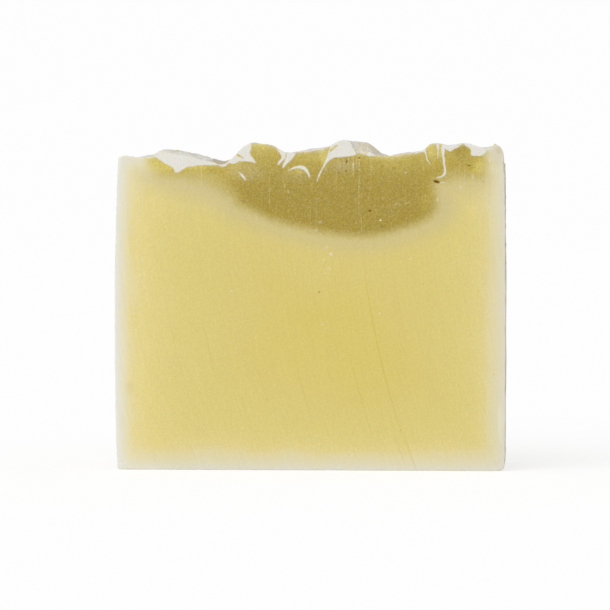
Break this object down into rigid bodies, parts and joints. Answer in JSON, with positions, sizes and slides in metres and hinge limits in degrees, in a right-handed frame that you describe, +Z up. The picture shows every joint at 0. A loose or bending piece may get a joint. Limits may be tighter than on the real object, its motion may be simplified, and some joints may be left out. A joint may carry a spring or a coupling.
{
  "type": "bar of soap",
  "caption": "slice of a loaf of handmade soap, standing on its moulded foot: flat wire-cut front and back, slightly bellied moulded sides and a top of soft uneven folds",
  "frame": {"origin": "the middle of the rectangle the bar fills, at the height of its flat moulded foot", "axes": "+X across the loaf, from the left mould wall to the right one as the front is faced; +Y through the slice, from the front cut to the back cut; +Z up, towards the folded top"},
  "size_m": [0.08, 0.025, 0.0676],
  "materials": {
    "soap": "matte, faintly waxy"
  },
  "bodies": {
    "root": {"soap_bar": "soap"}
  },
  "joints": []
}
